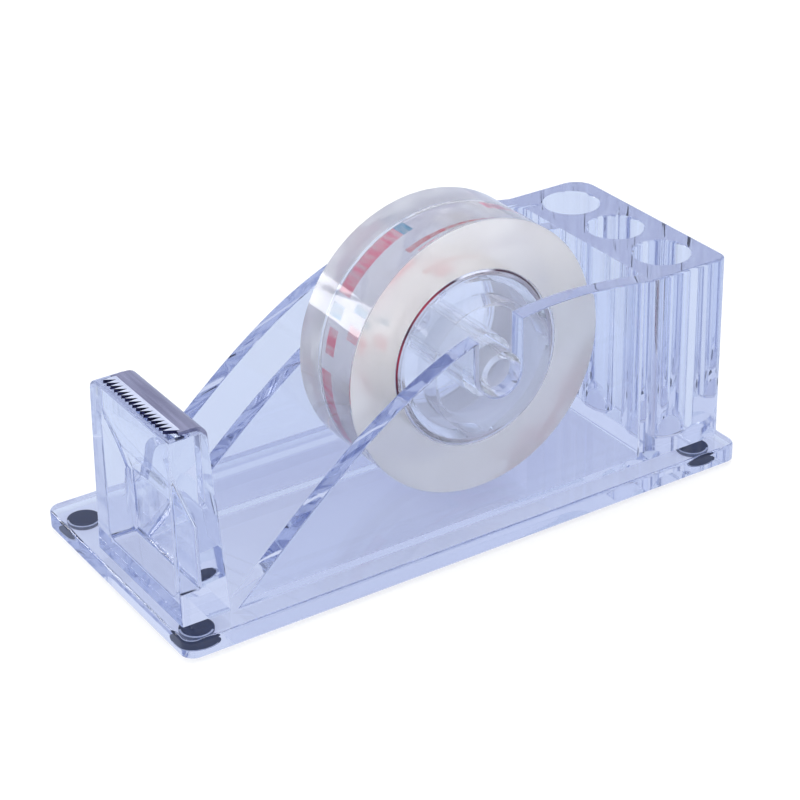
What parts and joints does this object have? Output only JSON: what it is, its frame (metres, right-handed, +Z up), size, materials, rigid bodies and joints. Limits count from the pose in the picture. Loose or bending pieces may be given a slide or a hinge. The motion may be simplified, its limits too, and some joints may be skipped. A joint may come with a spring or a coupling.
{
  "type": "tape dispenser with pen block",
  "caption": "Clear desk tape dispenser: toothed cutter post, tape roll on a lift-out hollow axle, open side tray and a pen block with round sockets",
  "frame": {"origin": "on the table under the middle of the base plate, at the bottom of the feet", "axes": "+X from the cutter post to the pen block, -Y the side of the tape bay, +Z up"},
  "size_m": [0.131, 0.06, 0.0647],
  "materials": {
    "clear_plastic": "polished clear moulding with a pale blue cast",
    "hub_plastic": "polished clear moulding",
    "core_plastic": "thin clear core",
    "printed_film": "thin film with plain pink and blue colour blocks",
    "clear_tape": "many layers of clear adhesive tape, slightly grey",
    "blade_steel": "thin bright strip",
    "foot_rubber": "dark stick-on disc"
  },
  "bodies": {
    "frame": {"base_plate": "clear_plastic", "near_side_wall": "clear_plastic", "partition_wall": "clear_plastic", "far_side_wall": "clear_plastic", "pen_block": "clear_plastic", "cutter_post": "clear_plastic", "cutter_blade": "blade_steel", "foot_front_near": "foot_rubber", "foot_front_far": "foot_rubber", "foot_rear_near": "foot_rubber", "foot_rear_far": "foot_rubber"},
    "axle": {"axle_tube": "hub_plastic"},
    "roll": {"hub_wheel": "hub_plastic", "tape_core": "core_plastic", "core_print_band": "printed_film", "tape_winding": "clear_tape"}
  },
  "joints": [
    {"name": "axle_lift", "type": "slide", "parent": "frame", "child": "axle", "axis": [0, 0, 1], "range_m": [0, 0.045]},
    {"name": "roll_spin", "type": "hinge", "parent": "axle", "child": "roll", "pos_m": [0.0085, 0, 0.036], "axis": [0, 1, 0], "continuous": true}
  ]
}
